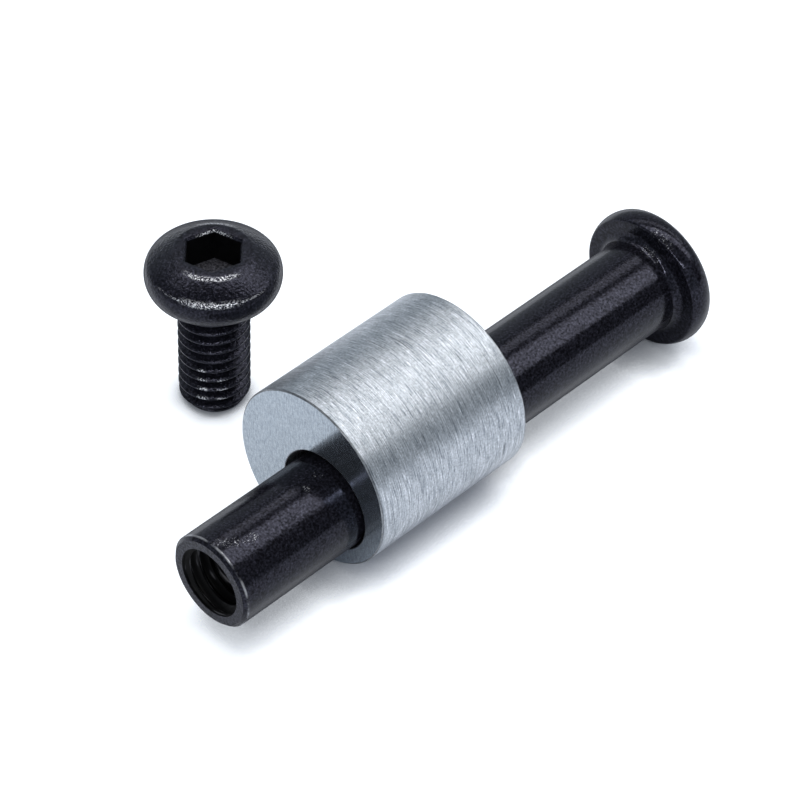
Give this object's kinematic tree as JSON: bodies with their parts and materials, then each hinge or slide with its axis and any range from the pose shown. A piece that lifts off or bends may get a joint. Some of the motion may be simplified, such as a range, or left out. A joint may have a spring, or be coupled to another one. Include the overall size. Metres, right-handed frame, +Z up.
{
  "type": "hinge pin set",
  "caption": "Black steel hinge pin with a domed socket head and a tapped end, a turned steel sleeve with an off-centre bore on it, and the button-head socket screw that closes the end.",
  "frame": {"origin": "on the floor, below the middle of the whole set", "axes": "+X along the pin from its open end to its head, +Y towards the screw that stands beside the sleeve, +Z up"},
  "size_m": [0.0524, 0.0314, 0.0155],
  "materials": {
    "black_pin": "satin black oxide on turned steel, with small bright scuffs",
    "turned_steel": "zinc-plated turned steel with fine lines round it",
    "black_screw": "semi-gloss black oxide on a cold-headed screw"
  },
  "bodies": {
    "pin": {"hinge_pin": "black_pin", "button_screw": "black_screw"},
    "sleeve": {"eccentric_sleeve": "turned_steel"}
  },
  "joints": [
    {"name": "sleeve_turn", "type": "hinge", "parent": "pin", "child": "sleeve", "pos_m": [-0.00595, -0.00938, 0.00638], "axis": [1, 0, 0], "continuous": true}
  ]
}
